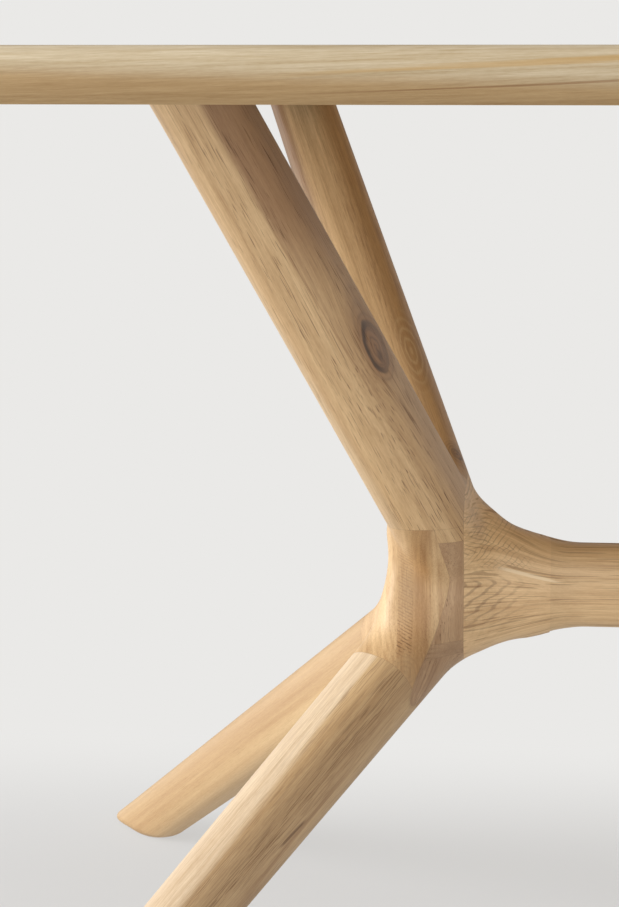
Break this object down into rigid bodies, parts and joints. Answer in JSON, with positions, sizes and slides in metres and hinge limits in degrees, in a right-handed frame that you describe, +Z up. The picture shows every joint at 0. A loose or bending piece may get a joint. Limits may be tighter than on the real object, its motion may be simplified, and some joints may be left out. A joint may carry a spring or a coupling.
{
  "type": "dining table",
  "caption": "Rectangular solid oak dining table with a bullnosed top on sculpted crossing trestles joined by a stretcher.",
  "frame": {"origin": "floor level, at the middle of the table", "axes": "+X along the length of the top, +Y across it from front to rear, +Z up"},
  "size_m": [2, 1, 0.76],
  "materials": {
    "oak_top": "oiled, horizontal grain",
    "oak_frame": "oiled, sanded round",
    "beech_dowel": "plain",
    "steel_bar": "matt black powder coat",
    "steel_fixing": "zinc plated",
    "insert": "plain",
    "glide": "matt"
  },
  "bodies": {
    "root": {"top_board_1": "oak_top", "top_board_2": "oak_top", "top_board_3": "oak_top", "top_board_4": "oak_top", "top_board_5": "oak_top", "top_board_6": "oak_top", "top_board_7": "oak_top", "top_board_8": "oak_top", "upper_leg_left_front": "oak_frame", "upper_leg_left_rear": "oak_frame", "upper_leg_right_front": "oak_frame", "upper_leg_right_rear": "oak_frame", "cheek_left_front": "oak_frame", "cheek_left_rear": "oak_frame", "cheek_right_front": "oak_frame", "cheek_right_rear": "oak_frame", "core_left_front": "oak_frame", "core_left_rear": "oak_frame", "core_right_front": "oak_frame", "core_right_rear": "oak_frame", "packer_left_front": "oak_frame", "packer_left_rear": "oak_frame", "packer_right_front": "oak_frame", "packer_right_rear": "oak_frame", "heel_left_front": "oak_frame", "heel_left_rear": "oak_frame", "heel_right_front": "oak_frame", "heel_right_rear": "oak_frame", "lower_leg_left_front": "oak_frame", "lower_leg_left_rear": "oak_frame", "lower_leg_right_front": "oak_frame", "lower_leg_right_rear": "oak_frame", "flare_left": "oak_frame", "flare_right": "oak_frame", "stretcher": "oak_frame", "cross_bar_left": "steel_bar", "cross_bar_right": "steel_bar", "head_dowels": "beech_dowel", "leg_dowels": "beech_dowel", "cheek_dowels": "beech_dowel", "flare_dowels": "beech_dowel", "stretcher_dowels": "beech_dowel", "stretcher_bolts": "steel_fixing", "barrel_nuts": "steel_fixing", "leg_screws": "steel_fixing", "top_screws": "steel_fixing", "top_inserts": "insert", "glides": "glide"}
  },
  "joints": []
}
